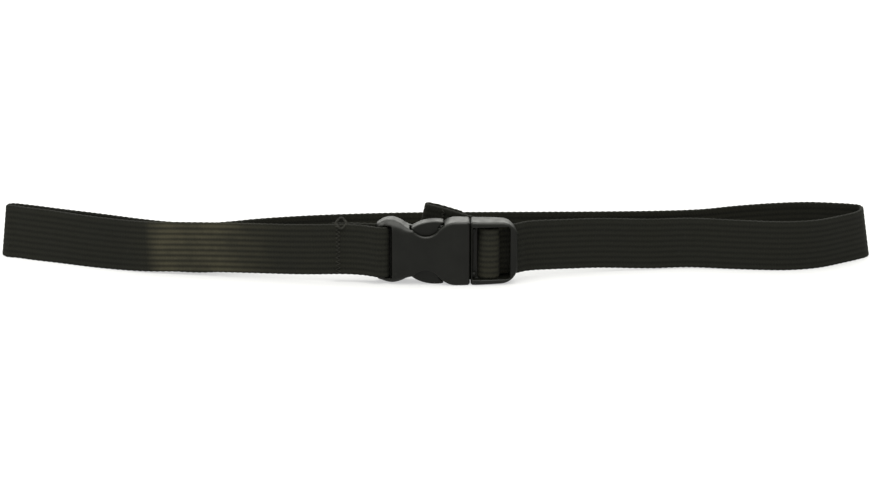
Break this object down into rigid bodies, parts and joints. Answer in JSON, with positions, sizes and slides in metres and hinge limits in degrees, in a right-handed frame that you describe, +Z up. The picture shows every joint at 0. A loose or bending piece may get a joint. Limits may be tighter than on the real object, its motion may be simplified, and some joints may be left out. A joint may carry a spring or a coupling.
{
  "type": "elastic limb tourniquet",
  "caption": "Ribbed elastic strap closed into a loop by a side-release buckle, with a sewn end and a folded free tail.",
  "frame": {"origin": "middle of the base that the strap's lower edge and the buckle stand on", "axes": "+X along the strap from the sewn end to the adjuster, +Y from the buckle's front through the loop, +Z up across the strap's width"},
  "size_m": [0.432, 0.056, 0.0363],
  "materials": {
    "moulded_plastic": "fine-textured black moulded acetal with soft highlights on the rounded edges",
    "elastic_webbing": "black woven elastic with lengthwise ribs, slightly faded to brown in use",
    "sewing_thread": "black twisted polyester thread, a little lighter than the webbing"
  },
  "bodies": {
    "strap_and_housing": {"buckle_housing": "moulded_plastic", "elastic_strap": "elastic_webbing", "loop_stitch_needle_thread": "sewing_thread", "loop_stitch_bobbin_thread": "sewing_thread"},
    "plug": {"plug_frame": "moulded_plastic", "adjuster_webbing": "elastic_webbing", "hem_stitch_needle_thread": "sewing_thread", "hem_stitch_bobbin_thread": "sewing_thread"},
    "upper_latch": {"upper_latch_arm": "moulded_plastic"},
    "lower_latch": {"lower_latch_arm": "moulded_plastic"}
  },
  "joints": [
    {"name": "plug_release", "type": "slide", "parent": "strap_and_housing", "child": "plug", "axis": [1, 0, 0], "range_m": [0, 0.04], "deforming": ["elastic_strap", "upper_latch_arm", "lower_latch_arm"]},
    {"name": "upper_latch_press", "type": "hinge", "parent": "plug", "child": "upper_latch", "pos_m": [0.0179, -0.02247, 0.0272], "axis": [0, -1, 0], "range_deg": [0, 11], "stiffness_Nm_per_rad": 0.5},
    {"name": "lower_latch_press", "type": "hinge", "parent": "plug", "child": "lower_latch", "pos_m": [0.0179, -0.02247, 0.0048], "axis": [0, 1, 0], "range_deg": [0, 11], "stiffness_Nm_per_rad": 0.5}
  ]
}
